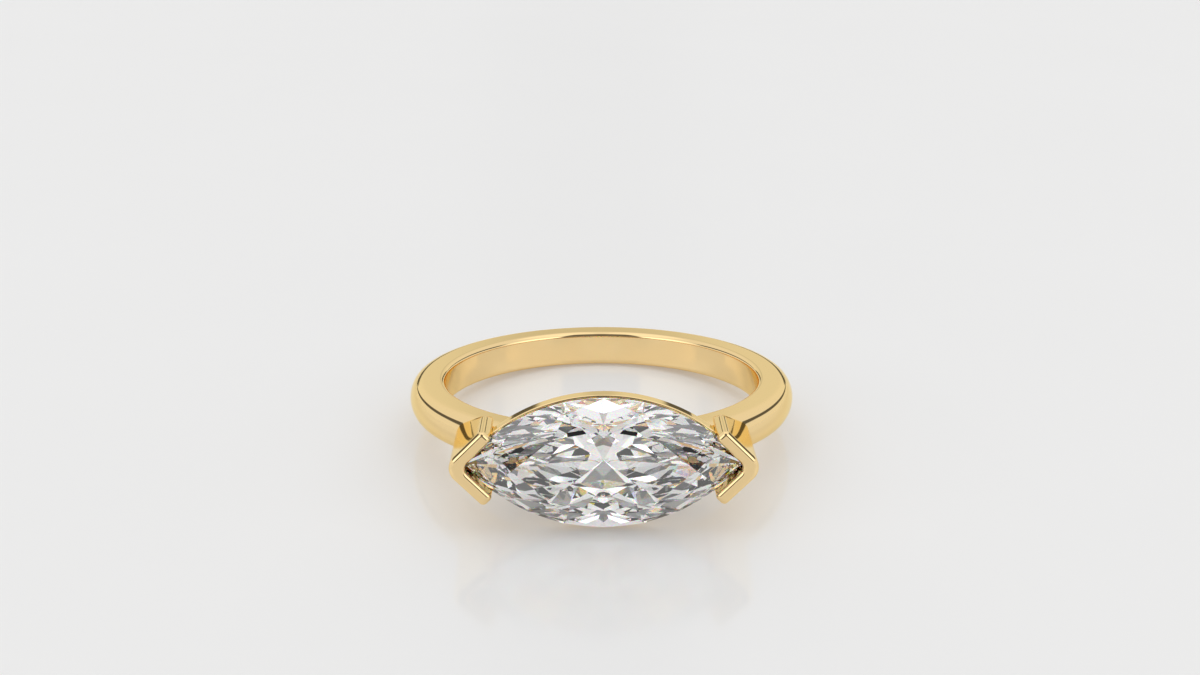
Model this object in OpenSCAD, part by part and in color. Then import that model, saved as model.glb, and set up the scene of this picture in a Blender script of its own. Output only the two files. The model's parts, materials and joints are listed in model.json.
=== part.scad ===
// Solitaire engagement ring: one cast gold mount and one marquise brilliant cut stone.
// The ring frame has its origin at the middle of the finger hole, Z along the finger
// and the stone towards -Y. The ring lies on its side on the floor, as it would by itself:
// on the rail under the stone and on the back of the shank, which tips it a few degrees.

/* [Shank] */
// Inside diameter of the finger hole
finger_d = 16.5; // [15:0.1:19]
// Width of the shank, along the finger
shank_w = 1.95; // [1.8:0.05:2.4]
// Thickness of the shank, from the finger to its crown
shank_t = 1.87; // [1.7:0.01:2.2]
// Radius of the crown arc along the middle of the outside
crown_r = 1.22; // [1.2:0.01:2]
// Radius of the soft shoulders beside the crown arc
shoulder_r = 0.74; // [0.6:0.01:0.85]
// Radius of the lips of the finger hole
lip_r = 0.3; // [0.1:0.01:0.35]

/* [Stone] */
// Length of the stone from tip to tip
stone_l = 13.07; // [12.8:0.01:13.4]
// Width of the stone at its belly
stone_w = 6.39; // [6.2:0.01:6.6]
// Height of the crown, from the girdle to the table
crown_h = 1.04; // [0.9:0.01:1.15]
// Depth of the pavilion, from the girdle to the culet
pavilion_h = 2.68; // [2.5:0.01:2.75]
// Thickness of the girdle
girdle_t = 0.12; // [0.08:0.01:0.2]
// Reach of the table at the bellies, as a share of the girdle's
table_share = 0.613; // [0.58:0.001:0.65]
// Reach of the table at the tips and the shoulders, as a share of the girdle's
table_tip_share = 0.657; // [0.63:0.001:0.68]
// Climb to the lower points of the star facets beside the bellies, as a share of the crown
star_share = 0.5; // [0.4:0.01:0.6]
// Climb to the lower points of the star facets beside the tips, as a share of the crown
star_tip_share = 0.62; // [0.5:0.01:0.7]
// Depth of the lower halves' inner points, as a share of the pavilion
lower_half_share = 0.64; // [0.6:0.01:0.85]
// Distance from the middle of the finger hole to the middle of the girdle
girdle_d = 11.16; // [11.1:0.01:11.6]

/* [Head] */
// Thickness of the prong plates
prong_t = 0.67; // [0.6:0.01:0.75]
// How far the prongs' front faces stand in front of the girdle's middle
prong_rise = 0.84; // [0.5:0.01:1.1]
// Half height of the prongs, from the middle to an arm's end
prong_h = 1.9; // [1.7:0.01:2]
// Distance between the outer corners of the two prongs
prong_span = 14.43; // [14.3:0.01:14.8]
// Radius of the prongs' outer corners
prong_corner_r = 0.78; // [0.6:0.01:0.9]
// Radius in the prongs' inner corners, where the stone's tips sit
prong_inner_r = 0.36; // [0.2:0.01:0.5]
// How far back the arm ends run before they slope down to the shank
arm_end_l = 2.5; // [2:0.1:2.7]
// Distance from the middle of the finger hole at which the slopes would meet
slope_root_d = 5.6; // [5.2:0.1:6]
// Depth of the rail, along the stone's axis
rail_h = 0.7; // [0.6:0.05:1.2]
// Thickness of the rail
rail_t = 0.55; // [0.45:0.05:0.7]
// How far the rail stands out past the girdle
rail_proud = 0.095; // [0.06:0.005:0.12]
// How far the rail's front edge lies behind the girdle's edge
rail_drop = 0.13; // [0.1:0.01:0.2]
// Gap between the stone and the metal
seat_gap = 0.03; // [0.02:0.01:0.05]

/* [Hidden] */

finger_r = finger_d / 2;
shank_r = finger_r + shank_t;

// Section of the shank: the shoulder arcs touch the flat sides and the crown arc
shoulder_z = shank_w / 2 - shoulder_r;
shoulder_x = shank_r - crown_r + sqrt(pow(crown_r - shoulder_r, 2) - pow(shoulder_z, 2));
crown_half_angle = asin(shoulder_z / (crown_r - shoulder_r));

// Outline of the stone: two arcs that meet at the tips
outline_r = (pow(stone_l / 2, 2) + pow(stone_w / 2, 2)) / stone_w;
outline_c = outline_r - stone_w / 2;
GIRDLE_STEPS = 64;
MAINS = 8;
STEPS_PER_MAIN = GIRDLE_STEPS / MAINS;
STEPS_PER_HALF = STEPS_PER_MAIN / 2;

// The prongs are chevrons with a right angle and square arm ends
end_step = prong_t / sqrt(2);
corner_cut = prong_corner_r * (sqrt(2) - 1);
prong_tip = prong_span / 2 + corner_cut;
prong_front = girdle_d + prong_rise;
// Spare length of a shape past the face that trims it
overrun = 1;

rail_front = girdle_d - girdle_t / 2 - rail_drop;
rail_back = rail_front - rail_h;
rail_z = stone_w / 2 + rail_proud;

// Rest: the back edge of the rail and the lower shoulder of the shank's back touch the floor
rest_rise = rail_z + shoulder_r - shank_w / 2;
rest_run = shoulder_x + rail_back;
tilt = acos(shoulder_r / norm([rest_rise, rest_run])) - atan2(rest_run, rest_rise);
rest_z = shoulder_r + shoulder_z * cos(tilt) + shoulder_x * sin(tilt);

// The origin is below the middle of the ring's own box
table_z = table_share * stone_w / 2;
front_reach = (girdle_d + girdle_t / 2 + crown_h) * cos(tilt) + table_z * sin(tilt);
back_reach = (shank_r - crown_r) * cos(tilt) + crown_r;
rest_y = (front_reach - back_reach) / 2;

function arc(centre, r, from, to, steps, first = 0) =
    [for (i = [first:steps]) let (a = from + (to - from) * i / steps) centre + r * [cos(a), sin(a)]];

module rest_pose() {
    translate([0, rest_y, rest_z]) rotate([-tilt, 0, 0]) children();
}

// Half of the shank's section, from the finger hole over the upper side to the crown
function shank_half() = concat(
    arc([finger_r + lip_r, shank_w / 2 - lip_r], lip_r, 180, 90, 4),
    arc([shoulder_x, shoulder_z], shoulder_r, 90, crown_half_angle, 6),
    arc([shank_r - crown_r, 0], crown_r, crown_half_angle, 0, 3, first = 1)
);

module shank() {
    upper = shank_half();
    lower = [for (i = [len(upper) - 2:-1:0]) [upper[i][0], -upper[i][1]]];
    rotate_extrude($fn = 180) polygon(concat(upper, lower));
}

// Chevron as seen from the front of the stone, with a round corner outside and inside
module prong_outline() {
    polygon(concat(
        arc([prong_tip - prong_corner_r * sqrt(2), 0], prong_corner_r, -45, 45, 8),
        [
            [prong_tip - prong_h, prong_h],
            [prong_tip - prong_h - end_step, prong_h - end_step]
        ],
        arc([prong_tip - 2 * end_step - prong_inner_r * sqrt(2), 0], prong_inner_r, 45, -45, 4),
        [
            [prong_tip - prong_h - end_step, end_step - prong_h],
            [prong_tip - prong_h, -prong_h]
        ]
    ));
}

// Side view of a prong: full height at the front, then sloping down into the shank
module prong_side() {
    polygon([
        [-prong_front, prong_h],
        [-prong_front, -prong_h],
        [-prong_front + arm_end_l, -prong_h],
        [-slope_root_d, 0],
        [-prong_front + arm_end_l, prong_h]
    ]);
}

module prong() {
    intersection() {
        rotate([90, 0, 0]) linear_extrude(prong_front + overrun) prong_outline();
        rotate([90, 0, 90]) linear_extrude(prong_tip) prong_side();
    }
}

// Point number k of the girdle, counted from the +X tip over the -Z belly
function girdle_point(k, grow) =
    let (
        half = GIRDLE_STEPS / 2,
        side = k < half ? 1 : -1,
        r = outline_r + grow,
        reach = acos(outline_c / r),
        a = reach * (1 - 2 * (k % half) / half)
    )
    side * [r * sin(a), outline_c - r * cos(a)];

function girdle_points(grow) = [for (k = [0:GIRDLE_STEPS - 1]) girdle_point(k, grow)];

module rail() {
    translate([0, -rail_back, 0]) rotate([90, 0, 0]) linear_extrude(rail_h) difference() {
        polygon(girdle_points(rail_proud));
        polygon(girdle_points(rail_proud - rail_t));
    }
}

// Direction in which a main facet faces
function main_direction(k) =
    let (
        half = GIRDLE_STEPS / 2,
        side = k < half ? 1 : -1,
        a = acos(outline_c / outline_r) * (1 - 2 * (k % half) / half)
    )
    k % half == 0 ? [side, 0] : side * [sin(a), -cos(a)];

// Reach of the table along the line of main facet j: less at the two bellies
function table_share_at(j) = j % (MAINS / 2) == MAINS / 4 ? table_share : table_tip_share;

// Climb to the star facet between main facets j and j + 1: more beside the two tips
function star_share_at(j) =
    let (place = j % (MAINS / 2))
    place == 0 || place == MAINS / 2 - 1 ? star_tip_share : star_share;

// Girdle point of main facet j; on the pavilion the mains start half a facet on from the tips
function main_index(j, first = 0) = (first + j * STEPS_PER_MAIN) % GIRDLE_STEPS;

// How far out the main facet at girdle point k still reaches after a share of its climb
function main_reach(k, climb, end_share, grow) =
    girdle_point(k, grow) * main_direction(k) * (1 - climb * (1 - end_share));

// Where the main facets at girdle points k1 and k2 meet, after a share of their climb
function meet_point(k1, k2, climb, end_share1, end_share2, grow) =
    let (
        n1 = main_direction(k1),
        n2 = main_direction(k2),
        d1 = main_reach(k1, climb, end_share1, grow),
        d2 = main_reach(k2, climb, end_share2, grow)
    )
    [d1 * n2[1] - d2 * n1[1], d2 * n1[0] - d1 * n2[0]] / cross(n1, n2);

// Height of the half facet through a meet point and two girdle points, at a point p
function half_height(p, m, h, g1, g2) =
    let (along = g2 - g1, far = cross(along, m - g1))
    h * cross(along, p - g1) / far;

// Heights of the girdle's edge, where the half facets below the meet points run out
function edge_heights(meets, heights, first, grow) =
    [for (k = [0:GIRDLE_STEPS - 1])
        let (
            j = floor((k - first + GIRDLE_STEPS) % GIRDLE_STEPS / STEPS_PER_MAIN),
            k1 = floor(k / STEPS_PER_HALF) * STEPS_PER_HALF,
            g1 = girdle_point(k1, grow),
            g2 = girdle_point((k1 + STEPS_PER_HALF) % GIRDLE_STEPS, grow)
        )
        k == k1 ? 0 : half_height(girdle_point(k, grow), meets[j], heights[j], g1, g2)];

// The stone with its girdle's middle at the origin, its table at -Y, grown by a gap
module brilliant(grow = 0) {
    n = GIRDLE_STEPS;
    half = STEPS_PER_HALF;
    top = girdle_t / 2 + grow;
    table_y = -(top + crown_h);
    low_h = pavilion_h * lower_half_share;
    table_shares = [for (j = [0:MAINS - 1]) table_share_at(j)];
    star_hs = [for (j = [0:MAINS - 1]) crown_h * star_share_at(j)];
    low_hs = [for (j = [0:MAINS - 1]) low_h];

    tables = [for (j = [0:MAINS - 1]) girdle_point(main_index(j), grow) * table_shares[j]];
    stars = [for (j = [0:MAINS - 1])
        let (k1 = main_index(j), k2 = main_index(j + 1), share2 = table_shares[(j + 1) % MAINS])
        meet_point(k1, k2, star_share_at(j), table_shares[j], share2, grow)];
    lows = [for (j = [0:MAINS - 1])
        meet_point(main_index(j, half), main_index(j + 1, half), lower_half_share, 0, 0, grow)];
    edges = girdle_points(grow);
    crown_edge = edge_heights(stars, star_hs, 0, grow);
    pavilion_edge = edge_heights(lows, low_hs, half, grow);

    points = concat(
        [for (p = tables) [p[0], table_y, p[1]]],
        [for (j = [0:MAINS - 1]) [stars[j][0], -(top + star_hs[j]), stars[j][1]]],
        [for (k = [0:n - 1]) [edges[k][0], -(top + crown_edge[k]), edges[k][1]]],
        [for (k = [0:n - 1]) [edges[k][0], top + pavilion_edge[k], edges[k][1]]],
        [for (p = lows) [p[0], top + low_h, p[1]]],
        [[0, top + pavilion_h, 0]]
    );
    star0 = MAINS;
    upper0 = star0 + MAINS;
    lower0 = upper0 + n;
    low0 = lower0 + n;
    culet = low0 + MAINS;

    function next(j) = (j + 1) % MAINS;
    function before(j) = (j + MAINS - 1) % MAINS;
    function ring(k) = k % n;

    faces = concat(
        [[for (j = [0:MAINS - 1]) j]],
        [for (j = [0:MAINS - 1]) [j, star0 + j, next(j)]],
        [for (j = [0:MAINS - 1]) [j, star0 + before(j), upper0 + main_index(j), star0 + j]],
        [for (j = [0:MAINS - 1], s = [0:1])
            concat([star0 + j], [for (i = [0:half]) upper0 + ring(main_index(j) + s * half + i)])],
        [for (k = [0:n - 1]) [upper0 + k, lower0 + k, lower0 + ring(k + 1), upper0 + ring(k + 1)]],
        [for (j = [0:MAINS - 1], s = [0:1])
            concat([for (i = [half:-1:0]) lower0 + ring(main_index(j, half) + s * half + i)], [low0 + j])],
        [for (j = [0:MAINS - 1]) [culet, low0 + j, lower0 + main_index(j, half), low0 + before(j)]]
    );
    polyhedron(points, faces, convexity = 4);
}

module ring_mount() {
    color([0.89, 0.72, 0.42]) rest_pose() difference() {
        union() {
            shank();
            prong();
            mirror([1, 0, 0]) prong();
            rail();
        }
        translate([0, -girdle_d, 0]) brilliant(seat_gap);
    }
}

module marquise_stone() {
    color([0.93, 0.94, 0.96]) rest_pose() translate([0, -girdle_d, 0]) brilliant();
}

ring_mount();
marquise_stone();
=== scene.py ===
"""Marquise engagement ring lying on a pale studio floor.

The cast gold mount and the cut stone are modelled in millimetres in the ring's own frame: the middle of
the finger hole at the origin, Z along the finger and the stone towards -Y. lay_down() then puts a piece
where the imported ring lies, in metres.
"""

import json
import math

import bmesh
import bpy
from mathutils import Matrix, Vector


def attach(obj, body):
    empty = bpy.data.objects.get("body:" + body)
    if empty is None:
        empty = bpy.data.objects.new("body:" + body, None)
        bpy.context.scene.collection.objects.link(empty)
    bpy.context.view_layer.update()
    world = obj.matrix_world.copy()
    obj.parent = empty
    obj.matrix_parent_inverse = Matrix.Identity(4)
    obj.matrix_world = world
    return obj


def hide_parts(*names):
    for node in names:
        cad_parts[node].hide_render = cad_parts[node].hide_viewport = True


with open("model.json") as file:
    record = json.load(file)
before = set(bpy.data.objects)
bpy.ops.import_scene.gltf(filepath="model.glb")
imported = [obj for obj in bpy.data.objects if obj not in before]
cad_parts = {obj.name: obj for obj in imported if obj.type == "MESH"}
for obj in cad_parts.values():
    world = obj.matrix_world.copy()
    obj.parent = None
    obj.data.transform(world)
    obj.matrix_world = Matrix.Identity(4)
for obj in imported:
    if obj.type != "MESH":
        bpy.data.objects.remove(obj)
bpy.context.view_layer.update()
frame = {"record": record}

MM = 0.001

# Camera, in metres and degrees: it looks down at the lying ring from its front
LENS_MM = 50
SENSOR_W_MM = 36
LOOK_DOWN = math.radians(22.428)
TURNED = math.radians(0.507)
AWAY = 0.080987
ASIDE = -0.000076
HEIGHT = 0.038596
NEAREST = 0.005
FARTHEST = 20

# Shank: a D-section with soft shoulders and round lips, in millimetres like every size of the ring
FINGER_R = frame["record"]["mounts"][0]["dims"]["r_mm"]
SHANK_W = 1.95
SHANK_T = 1.87
CROWN_R = 1.22
SHOULDER_R = 0.74
LIP_R = 0.3
LIP_STEPS = 10
SHOULDER_STEPS = 20
CROWN_STEPS = 10
SHANK_STEPS = 288

# Stone: the crown's shares run from a tip to a belly and on to the next tip
STONE_L = 13.07
STONE_W = 6.39
CROWN_H = 1.04
PAVILION_H = 2.68
GIRDLE_T = 0.12
TABLE_SHARE = (0.657, 0.657, 0.613, 0.657)
STAR_SHARE = (0.62, 0.5, 0.5, 0.62)
LOWER_HALF_SHARE = 0.64
MAINS = 8
GIRDLE_D = 11.16
GIRDLE_STEPS = 256
BLANK_SPARE = 0.5
SEAT_GAP = 0.03

# Head: two V prongs and the rail between them
PRONG_T = 0.67
PRONG_RISE = 0.84
PRONG_H = 1.9
PRONG_SPAN = 14.43
PRONG_CORNER_R = 0.78
PRONG_INNER_R = 0.36
CORNER_STEPS = 12
PRONG_EDGE_R = 0.24
PRONG_INNER_EDGE_R = 0.21
PRONG_EDGE_STEPS = 6
ARM_END_L = 2.5
SLOPE_ROOT_D = 5.6
RAIL_H = 0.7
RAIL_T = 0.55
RAIL_PROUD = 0.095
RAIL_DROP = 0.13
RAIL_EDGE_R = 0.08
RAIL_EDGE_STEPS = 4
RAIL_STEPS = 192

SHANK_R = FINGER_R + SHANK_T
PRONG_FRONT = GIRDLE_D + PRONG_RISE
PRONG_TIP = PRONG_SPAN / 2 + PRONG_CORNER_R * (math.sqrt(2) - 1)
END_STEP = PRONG_T / math.sqrt(2)
RAIL_FRONT = GIRDLE_D - GIRDLE_T / 2 - RAIL_DROP

# The stone's outline is two arcs that meet at the tips
OUTLINE_R = ((STONE_L / 2) ** 2 + (STONE_W / 2) ** 2) / STONE_W
OUTLINE_C = OUTLINE_R - STONE_W / 2

# An edge that turns more than this is crisp
SHARP = math.radians(28)

# Smallest distances that count: between a cut's corners, between a shape's corners and off a cutting plane
SLIVER = 1e-4
TWIN = 1e-5
ON_PLANE = 1e-6

# Finishes: a grain is the scale of a fine unevenness, and a roughness runs between two values
WHITE = (1, 1, 1, 1)
GRAIN_DETAIL = 3
GOLD_COLOUR = (0.95, 0.71, 0.365, 1)
GOLD_TINT = (1, 0.93, 0.68, 1)
GOLD_GRAIN = 900
GOLD_ROUGHNESS = (0.025, 0.075)
POLISH_WEIGHT = 100
DIAMOND_IOR = (2.41, 2.42, 2.438)
FIRE = 0.3
FLOOR_R = 2
FLOOR_STEPS = 96
FLOOR_SHADES = ((0.735, 0.733, 0.729, 1), (0.75, 0.748, 0.745, 1))
FLOOR_GRAIN = 60
# Painted light: how strongly the floor glows, though it is no lamp, so that shadows on it stay soft
FLOOR_PAINTED_LIGHT = 0.225
SHEEN_SHARE = 0.12
SHEEN_GRAIN = 90
SHEEN_ROUGHNESS = (0.09, 0.15)

# The tent, by the direction of a ray of length 1: each pair is where a soft step starts and ends
TENT_LIGHT = 0.65
SEAM_SIDE = (0.02, 0.1)
BESIDE_SEAM_LIGHT = 0.15
WALL_SIDE = (0.1, 0.4)
WALL_LIGHT = 0.07
ROOF_BOTTOM = (0.78, 0.86)
ROOF_LIGHT = 0.24
DARKEST = 0.86
TINY = 0.001

GAP_TURN = math.radians(20.5)
GAP_BOTTOM = (0.3, 0.36)
GAP_TOP = (0.64, 0.72)
GAP_FRONT = (-0.15, 0.02)
GAP_MIDDLE = (0, 0.02)

FRONT_HALF = (0, 0.1)
HATCH_SIDE = (0.56, 0.72)
HATCH_BOTTOM = (0.2, 0.32)
HATCH_TOP = (0.84, 0.93)
SILL_SIDE = (0.6, 0.95)
SILL_BOTTOM = (0.03, 0.06)
SILL_TOP = (0.27, 0.33)

SKIRTING_BACK = (0.6, 0.8)
SKIRTING_INNER = (0.08, 0.14)
SKIRTING_OUTER = (0.37, 0.43)
SKIRTING_TOP = (0.08, 0.105)

KEY_FRONT = (0, 0.5)
KEY_BOTTOM = (0.2, 0.3)
KEY_LIGHT = 0.14
LOW_KEY_TOP = (0.45, 0.6)
LOW_KEY_LIGHT = 0.8

STONE_BOUNCES = 24
MIRROR_BOUNCES = 10


def ring_pose():
    """Where the ring lies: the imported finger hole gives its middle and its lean."""
    hole = frame["record"]["mounts"][0]
    lean = Vector((0, 0, 1)).rotation_difference(Vector(hole["axis"]))
    return Matrix.Translation(hole["pos_m"]) @ lean.to_matrix().to_4x4() @ Matrix.Scale(MM, 4)


def camera():
    data = bpy.data.cameras.new("camera")
    data.lens = LENS_MM
    data.sensor_width = SENSOR_W_MM
    data.clip_start = NEAREST
    data.clip_end = FARTHEST
    obj = bpy.data.objects.new("camera", data)
    bpy.context.scene.collection.objects.link(obj)
    hole_y = frame["record"]["mounts"][0]["pos_m"][1]
    obj.location = (ASIDE - AWAY * math.sin(TURNED), hole_y - AWAY * math.cos(TURNED), HEIGHT)
    obj.rotation_euler = (math.pi / 2 - LOOK_DOWN, 0, -TURNED)
    bpy.context.scene.camera = obj


# Shapes


def face_out(bm):
    """Turns every face of a closed shape outwards."""
    bmesh.ops.recalc_face_normals(bm, faces=bm.faces)
    return bm


def close_rims(bm):
    rim = [e for e in bm.edges if e.is_boundary]
    if rim:
        bmesh.ops.holes_fill(bm, edges=rim, sides=0)


def draw_back(bm, depth):
    """Makes a solid of the flat faces by drawing them back along Y."""
    drawn = bmesh.ops.extrude_face_region(bm, geom=bm.faces[:])
    moved = [v for v in drawn["geom"] if isinstance(v, bmesh.types.BMVert)]
    bmesh.ops.translate(bm, verts=moved, vec=(0, depth, 0))
    return face_out(bm)


def plate(outline, front, depth):
    """A flat outline in X and Z at Y = front, drawn back by a depth."""
    bm = bmesh.new()
    bm.faces.new([bm.verts.new((x, front, z)) for x, z in outline])
    return draw_back(bm, depth)


def cut(bm, point, normal):
    """Takes away what lies in front of a plane and closes the wall there."""
    everything = bm.verts[:] + bm.edges[:] + bm.faces[:]
    bmesh.ops.bisect_plane(
        bm, geom=everything, dist=ON_PLANE, plane_co=point, plane_no=normal, clear_outer=True
    )
    close_rims(bm)


def ease(bm, edges, radius, segments):
    """Rounds edges off."""
    bmesh.ops.bevel(
        bm,
        geom=edges,
        offset=radius,
        offset_type="OFFSET",
        segments=segments,
        profile=0.5,
        affect="EDGES",
        material=-1,
    )


def sharp_edges(bm):
    return [e for e in bm.edges if e.calc_face_angle(0) > SHARP]


def arc(centre, radius, start, end, steps):
    """Points of an arc, from one angle to another."""
    angles = [start + (end - start) * i / steps for i in range(steps + 1)]
    return [(centre[0] + radius * math.cos(a), centre[1] + radius * math.sin(a)) for a in angles]


def shank_section():
    """The upper half of the shank's section, from the finger hole to the crown."""
    shoulder_z = SHANK_W / 2 - SHOULDER_R
    reach = CROWN_R - SHOULDER_R
    shoulder_x = SHANK_R - CROWN_R + math.sqrt(reach**2 - shoulder_z**2)
    crown_half = math.asin(shoulder_z / reach)
    lip = arc((FINGER_R + LIP_R, SHANK_W / 2 - LIP_R), LIP_R, math.pi, math.pi / 2, LIP_STEPS)
    shoulder = arc((shoulder_x, shoulder_z), SHOULDER_R, math.pi / 2, crown_half, SHOULDER_STEPS)
    crown = arc((SHANK_R - CROWN_R, 0), CROWN_R, crown_half, 0, CROWN_STEPS)
    return lip + shoulder + crown[1:]


def shank():
    upper = shank_section()
    lower = [(r, -z) for r, z in reversed(upper[:-1])]
    bm = bmesh.new()
    corners = [bm.verts.new((r, 0, z)) for r, z in upper + lower]
    section = [bm.edges.new((a, b)) for a, b in zip(corners, corners[1:] + corners[:1])]
    bmesh.ops.spin(
        bm,
        geom=corners + section,
        cent=(0, 0, 0),
        axis=(0, 0, 1),
        angle=2 * math.pi,
        steps=SHANK_STEPS,
        use_merge=True,
    )
    bmesh.ops.remove_doubles(bm, verts=bm.verts, dist=TWIN)
    return face_out(bm)


def prong():
    """A chevron plate with square arm ends, which slopes back into the shank."""
    inner_tip = PRONG_TIP - 2 * END_STEP
    arm_end = PRONG_TIP - PRONG_H
    chevron = [
        (PRONG_TIP, 0),
        (arm_end, PRONG_H),
        (arm_end - END_STEP, PRONG_H - END_STEP),
        (inner_tip, 0),
        (arm_end - END_STEP, END_STEP - PRONG_H),
        (arm_end, -PRONG_H),
    ]
    bm = plate(chevron, -PRONG_FRONT, PRONG_FRONT - SLOPE_ROOT_D + PRONG_T)
    run = PRONG_FRONT - ARM_END_L - SLOPE_ROOT_D
    for side in (1, -1):
        shoulder = Vector((0, -PRONG_FRONT + ARM_END_L, side * PRONG_H))
        cut(bm, shoulder, Vector((0, PRONG_H, side * run)))
    for x, radius in ((PRONG_TIP, PRONG_CORNER_R), (inner_tip, PRONG_INNER_R)):
        corner = [e for e in bm.edges if all(math.dist(v.co.xz, (x, 0)) < SLIVER for v in e.verts)]
        ease(bm, corner, radius, CORNER_STEPS)

    def open_edges():
        """The sharp edges that reach out of the shank."""
        return [e for e in sharp_edges(bm) if min(v.co.y for v in e.verts) < -SLOPE_ROOT_D - SLIVER]

    middle = PRONG_TIP - END_STEP
    outer = [e for e in open_edges() if any(v.co.x + abs(v.co.z) > middle for v in e.verts)]
    ease(bm, outer, PRONG_EDGE_R, PRONG_EDGE_STEPS)
    ease(bm, open_edges(), PRONG_INNER_EDGE_R, PRONG_EDGE_STEPS)
    return face_out(bm)


def on_outline(turn, radius):
    """Which arc of the stone's outline a turn is on, and the angle along that arc.

    A turn runs from 0 at the +X tip over the -Z belly, the -X tip and the +Z belly to 1.
    """
    side = 1 if turn % 1 < 0.5 else -1
    return side, math.acos(OUTLINE_C / radius) * (1 - 4 * (turn % 0.5))


def girdle_point(turn, grow=0):
    """Point of the stone's outline, or of one that is larger all round."""
    radius = OUTLINE_R + grow
    side, a = on_outline(turn, radius)
    return side * radius * math.sin(a), side * (OUTLINE_C - radius * math.cos(a))


def girdle_outline(steps, grow=0):
    return [girdle_point(i / steps, grow) for i in range(steps)]


def rail():
    """A pointed oval of gold under the girdle."""
    bm = bmesh.new()
    rims = []
    for grow in (RAIL_PROUD, RAIL_PROUD - RAIL_T):
        loop = [bm.verts.new((x, -RAIL_FRONT, z)) for x, z in girdle_outline(RAIL_STEPS, grow)]
        rims += [bm.edges.new((a, b)) for a, b in zip(loop, loop[1:] + loop[:1])]
    bmesh.ops.bridge_loops(bm, edges=rims)
    draw_back(bm, RAIL_H)
    ease(bm, sharp_edges(bm), RAIL_EDGE_R, RAIL_EDGE_STEPS)
    return face_out(bm)


def main_direction(turn):
    """The way that the main facet at a turn of the outline faces."""
    side, a = on_outline(turn, OUTLINE_R)
    if turn % 0.5 == 0:
        return Vector((side, 0))
    return side * Vector((math.sin(a), -math.cos(a)))


def meet_point(turns, end_shares, climb, grow):
    """Where two main facets meet, at a share of the climb to where each one ends."""
    n1, n2 = (main_direction(turn) for turn in turns)
    reach = []
    for turn, n, end in zip(turns, (n1, n2), end_shares):
        reach.append(Vector(girdle_point(turn, grow)).dot(n) * (1 - climb * (1 - end)))
    det = n1.x * n2.y - n1.y * n2.x
    x = (reach[0] * n2.y - reach[1] * n1.y) / det
    z = (reach[1] * n1.x - reach[0] * n2.x) / det
    return x, z


def brilliant(grow=0):
    """The marquise brilliant: a pointed prism on which each facet is cut as a plane."""
    top = GIRDLE_T / 2 + grow
    low_h = PAVILION_H * LOWER_HALF_SHARE
    tip_to_belly = [j % len(TABLE_SHARE) for j in range(MAINS + 1)]
    table_reach = [TABLE_SHARE[j] for j in tip_to_belly]
    star_climb = [STAR_SHARE[j] for j in tip_to_belly[:-1]]

    def point(xz, y):
        return Vector((xz[0], y, xz[1]))

    def girdle(turn, y):
        return point(girdle_point(turn, grow), y)

    # Each main facet of the crown points at a tip, a belly or between, and those of the pavilion at the gaps
    step = 1 / MAINS
    crown_turns = [j * step for j in range(MAINS + 1)]
    pavilion_turns = [(j + 0.5) * step for j in range(MAINS + 1)]
    table = [
        point(Vector(girdle_point(turn, grow)) * reach, -top - CROWN_H)
        for turn, reach in zip(crown_turns, table_reach)
    ]
    stars = []
    lows = []
    for j, climb in enumerate(star_climb):
        meet = meet_point(crown_turns[j : j + 2], table_reach[j : j + 2], climb, grow)
        stars.append(point(meet, -top - climb * CROWN_H))
        meet = meet_point(pavilion_turns[j : j + 2], (0, 0), LOWER_HALF_SHARE, grow)
        lows.append(point(meet, top + low_h))
    culet = Vector((0, top + PAVILION_H, 0))

    # Three corners of each facet: the table, then the stars, mains and halves all round
    facets = [(table[0], table[2], table[5])]
    for j in range(MAINS):
        a, b, c = (girdle(crown_turns[j] + k * step, -top) for k in (0, 0.5, 1))
        facets += [
            (table[j], table[j + 1], stars[j]),
            (stars[j - 1], stars[j], a),
            (stars[j], a, b),
            (stars[j], b, c),
        ]
        a, b, c = (girdle(pavilion_turns[j] + k * step, top) for k in (0, 0.5, 1))
        facets += [(lows[j - 1], lows[j], culet), (lows[j], a, b), (lows[j], b, c)]

    depth = GIRDLE_T + CROWN_H + PAVILION_H + 2 * BLANK_SPARE
    bm = plate(girdle_outline(GIRDLE_STEPS, grow), -top - CROWN_H - BLANK_SPARE, depth)
    for a, b, c in facets:
        normal = (b - a).cross(c - a).normalized()
        cut(bm, a, normal if normal.dot(a) > 0 else -normal)
    bmesh.ops.translate(bm, verts=bm.verts, vec=(0, -GIRDLE_D, 0))
    return face_out(bm)


# Pieces


def as_object(name, bm):
    mesh = bpy.data.meshes.new(name)
    bm.to_mesh(mesh)
    bm.free()
    obj = bpy.data.objects.new(name, mesh)
    bpy.context.scene.collection.objects.link(obj)
    return obj


def apply_modifiers(obj):
    """Replaces an object's mesh by what its modifiers make of it."""
    shown = obj.evaluated_get(bpy.context.evaluated_depsgraph_get())
    mesh = bpy.data.meshes.new_from_object(shown)
    obj.modifiers.clear()
    obj.data = mesh


def join_metal(obj, other, operation):
    """Solders another solid to the metal, or cuts it out of the metal."""
    step = obj.modifiers.new(operation, "BOOLEAN")
    step.operation = operation
    step.solver = "EXACT"
    step.object = other
    apply_modifiers(obj)
    bpy.data.objects.remove(other)


def mend_seams(obj):
    """Merges the slivers that the cuts leave and closes the pinholes between them."""
    bm = bmesh.new()
    bm.from_mesh(obj.data)
    bmesh.ops.remove_doubles(bm, verts=bm.verts, dist=SLIVER)
    bmesh.ops.dissolve_degenerate(bm, edges=bm.edges, dist=SLIVER)
    close_rims(bm)
    bm.to_mesh(obj.data)
    bm.free()


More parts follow.
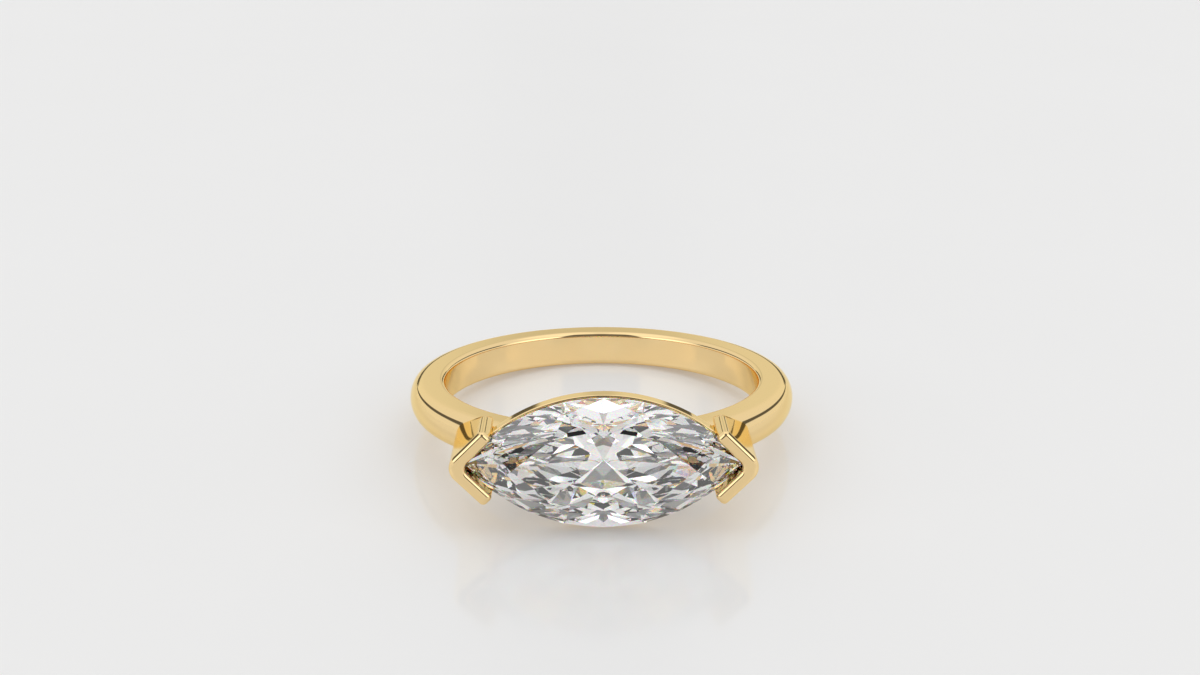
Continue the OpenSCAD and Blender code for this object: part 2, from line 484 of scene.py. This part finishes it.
def soften(obj):
    """Smooth shading that leaves flat faces flat and true edges crisp."""
    bm = bmesh.new()
    bm.from_mesh(obj.data)
    for face in bm.faces:
        face.smooth = True
    for edge in bm.edges:
        edge.smooth = edge.calc_face_angle(0) < SHARP
    bm.to_mesh(obj.data)
    bm.free()
    weighted = obj.modifiers.new("even_polish", "WEIGHTED_NORMAL")
    weighted.mode = "FACE_AREA"
    weighted.weight = POLISH_WEIGHT
    weighted.keep_sharp = True
    apply_modifiers(obj)


def lay_down(obj, material, node):
    obj.data.transform(ring_pose())
    obj.data.materials.clear()
    obj.data.materials.append(material)
    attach(obj, "root")
    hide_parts(node)


def gold_mount():
    metal = as_object("mount", shank())
    left = prong()
    bmesh.ops.scale(left, verts=left.verts, vec=(-1, 1, 1))
    join_metal(metal, as_object("right_prong", prong()), "UNION")
    join_metal(metal, as_object("left_prong", face_out(left)), "UNION")
    join_metal(metal, as_object("rail", rail()), "UNION")
    join_metal(metal, as_object("seat", brilliant(SEAT_GAP)), "DIFFERENCE")
    mend_seams(metal)
    soften(metal)
    lay_down(metal, polished_gold(), "ring_mount")


def cut_stone():
    stone = as_object("stone", brilliant())
    lay_down(stone, diamond(), "marquise_stone")


# Finishes


class Nodes:
    """A node tree that grows call by call: an input takes a value or what another node gives."""

    def __init__(self, tree):
        tree.nodes.clear()
        self.tree = tree

    def add(self, kind, inputs=(), give=0, **settings):
        node = self.tree.nodes.new("ShaderNode" + kind)
        for name, value in settings.items():
            setattr(node, name, value)
        for place, value in dict(inputs).items():
            if isinstance(value, bpy.types.NodeSocket):
                self.tree.links.new(value, node.inputs[place])
            else:
                node.inputs[place].default_value = value
        return node.outputs[give] if node.outputs else None

    def maths(self, operation, *values):
        return self.add("Math", enumerate(values), operation=operation)

    def product(self, first, *others):
        for other in others:
            first = self.maths("MULTIPLY", first, other)
        return first

    def rise(self, value, step):
        """0 below a soft step and 1 above it."""
        ends = {"Value": value, "From Min": step[0], "From Max": step[1]}
        return self.add("MapRange", ends, interpolation_type="SMOOTHSTEP")

    def fall(self, value, step):
        """1 below a soft step and 0 above it."""
        return self.maths("SUBTRACT", 1, self.rise(value, step))

    def mottle(self, scale, span):
        """A soft unevenness of the surface, between two values."""
        place = self.add("TexCoord", give="Object")
        noise = self.add("TexNoise", {"Vector": place, "Scale": scale, "Detail": GRAIN_DETAIL})
        return self.add("MapRange", {"Value": noise, "To Min": span[0], "To Max": span[1]})

    def together(self, first, *others):
        """Shaders added up."""
        for other in others:
            first = self.add("AddShader", {0: first, 1: other})
        return first

    def see_through(self, colour, ior):
        return self.add("BsdfRefraction", {"Color": colour, "Roughness": 0, "IOR": ior})


def new_material(name):
    material = bpy.data.materials.new(name)
    material.use_nodes = True
    return material, Nodes(material.node_tree)


def polished_gold():
    material, nodes = new_material("polished_gold")
    look = {
        "Base Color": GOLD_COLOUR,
        "Metallic": 1,
        "Specular Tint": GOLD_TINT,
        "Roughness": nodes.mottle(GOLD_GRAIN, GOLD_ROUGHNESS),
    }
    nodes.add("OutputMaterial", {"Surface": nodes.add("BsdfPrincipled", look)})
    return material


def diamond():
    """Clear stone that bends all light alike going in and splits a share of it into colours going out."""
    material, nodes = new_material("diamond")
    middle_ior = DIAMOND_IOR[1]
    entering = nodes.add("BsdfGlass", {"Color": WHITE, "Roughness": 0, "IOR": middle_ior})

    mirrors = [nodes.add("Fresnel", {"IOR": ior}) for ior in DIAMOND_IOR]
    held = nodes.add("CombineColor", enumerate(mirrors))
    leaving = [nodes.add("BsdfGlossy", {"Color": held, "Roughness": 0})]
    for channel, ior in enumerate(DIAMOND_IOR):
        tint = [0, 0, 0]
        tint[channel] = nodes.maths("MULTIPLY_ADD", mirrors[channel], -FIRE, FIRE)
        leaving.append(nodes.see_through(nodes.add("CombineColor", enumerate(tint)), ior))
    passed = nodes.add("Invert", {"Color": held})
    plain = nodes.add("VectorMath", {0: passed, "Scale": 1 - FIRE}, operation="SCALE")
    leaving.append(nodes.see_through(plain, middle_ior))

    inside = nodes.add("NewGeometry", give="Backfacing")
    both = nodes.add("MixShader", {0: inside, 1: entering, 2: nodes.together(*leaving)})
    nodes.add("OutputMaterial", {"Surface": both})
    return material


def pale_floor():
    """A matt sheet with a faint sheen and painted light: it glows a little, though it is no lamp, so that
    shadows stay soft.
    """
    material, nodes = new_material("pale_floor")
    grain = {"Factor": nodes.mottle(FLOOR_GRAIN, (0, 1)), "A": FLOOR_SHADES[0], "B": FLOOR_SHADES[1]}
    shade = nodes.add("Mix", grain, give="Result", data_type="RGBA")
    sheet = nodes.add("BsdfDiffuse", {"Color": shade})
    # Painted light: an even glow from the floor, which is no lamp, lifts the shadows on it
    painted_light = nodes.add("Emission", {"Color": WHITE, "Strength": FLOOR_PAINTED_LIGHT})
    sheen = nodes.add("BsdfGlossy", {"Roughness": nodes.mottle(SHEEN_GRAIN, SHEEN_ROUGHNESS)})
    both = nodes.add("MixShader", {0: SHEEN_SHARE, 1: nodes.together(sheet, painted_light), 2: sheen})
    nodes.add("OutputMaterial", {"Surface": both})
    return material


# Studio


def floor():
    bm = bmesh.new()
    bmesh.ops.create_circle(bm, cap_ends=True, segments=FLOOR_STEPS, radius=FLOOR_R)
    obj = as_object("floor", bm)
    obj.data.materials.append(pale_floor())


def tent_panels(nodes, wide, z):
    """The lit cloth: dimmest along the seam in the middle and brightest in the roof."""
    light = nodes.maths("MULTIPLY_ADD", nodes.rise(wide, SEAM_SIDE), BESIDE_SEAM_LIGHT, TENT_LIGHT)
    light = nodes.maths("MULTIPLY_ADD", nodes.rise(wide, WALL_SIDE), WALL_LIGHT, light)
    return nodes.maths("MULTIPLY_ADD", nodes.rise(z, ROOF_BOTTOM), ROOF_LIGHT, light)


def tent_openings(nodes, wide, y, z):
    """The dark places: a gap on each side, the hatch and its sill at the camera, and the skirting behind."""
    sideways = nodes.product(wide, math.cos(GAP_TURN))
    out = nodes.maths("SUBTRACT", sideways, nodes.product(y, math.sin(GAP_TURN)))
    slope = nodes.maths("DIVIDE", z, nodes.maths("MAXIMUM", out, TINY))
    gap = nodes.product(
        nodes.rise(slope, GAP_BOTTOM),
        nodes.fall(slope, GAP_TOP),
        nodes.rise(y, GAP_FRONT),
        nodes.rise(out, GAP_MIDDLE),
    )

    nearer = nodes.product(y, -1)
    front = nodes.rise(nearer, FRONT_HALF)
    aside = nodes.maths("DIVIDE", wide, nodes.maths("MAXIMUM", nearer, TINY))
    hatch = nodes.product(
        front, nodes.fall(aside, HATCH_SIDE), nodes.rise(z, HATCH_BOTTOM), nodes.fall(z, HATCH_TOP)
    )
    sill = nodes.product(
        front, nodes.fall(aside, SILL_SIDE), nodes.rise(z, SILL_BOTTOM), nodes.fall(z, SILL_TOP)
    )
    skirting = nodes.product(
        nodes.rise(y, SKIRTING_BACK),
        nodes.rise(wide, SKIRTING_INNER),
        nodes.fall(wide, SKIRTING_OUTER),
        nodes.fall(z, SKIRTING_TOP),
    )

    dark = gap
    for other in (hatch, sill, skirting):
        dark = nodes.maths("MAXIMUM", dark, other)
    return nodes.maths("SUBTRACT", 1, nodes.product(dark, DARKEST))


def key_light(nodes, y, z):
    """More light from the front of the tent: a little from all of it and much from its lower half."""
    key = nodes.product(nodes.rise(nodes.product(y, -1), KEY_FRONT), nodes.rise(z, KEY_BOTTOM))
    low_key = nodes.product(key, nodes.fall(z, LOW_KEY_TOP))
    return nodes.product(
        nodes.maths("MULTIPLY_ADD", key, KEY_LIGHT, 1),
        nodes.maths("MULTIPLY_ADD", low_key, LOW_KEY_LIGHT, 1),
    )


def light_tent():
    """A white tent round the ring, with a key light in front."""
    world = bpy.data.worlds.new("studio")
    bpy.context.scene.world = world
    world.use_nodes = True
    nodes = Nodes(world.node_tree)
    ray = nodes.add("TexCoord", give="Generated")
    x, y, z = (nodes.add("SeparateXYZ", {0: ray}, give=axis) for axis in "XYZ")
    wide = nodes.maths("ABSOLUTE", x)
    strength = nodes.product(
        tent_panels(nodes, wide, z), tent_openings(nodes, wide, y, z), key_light(nodes, y, z)
    )
    light = nodes.add("Background", {"Color": WHITE, "Strength": strength})
    nodes.add("OutputWorld", {"Surface": light})


camera()
gold_mount()
cut_stone()
floor()
light_tent()
scene = bpy.context.scene
scene.view_settings.view_transform = "Standard"
scene.cycles.max_bounces = STONE_BOUNCES
scene.cycles.transmission_bounces = STONE_BOUNCES
scene.cycles.glossy_bounces = MIRROR_BOUNCES
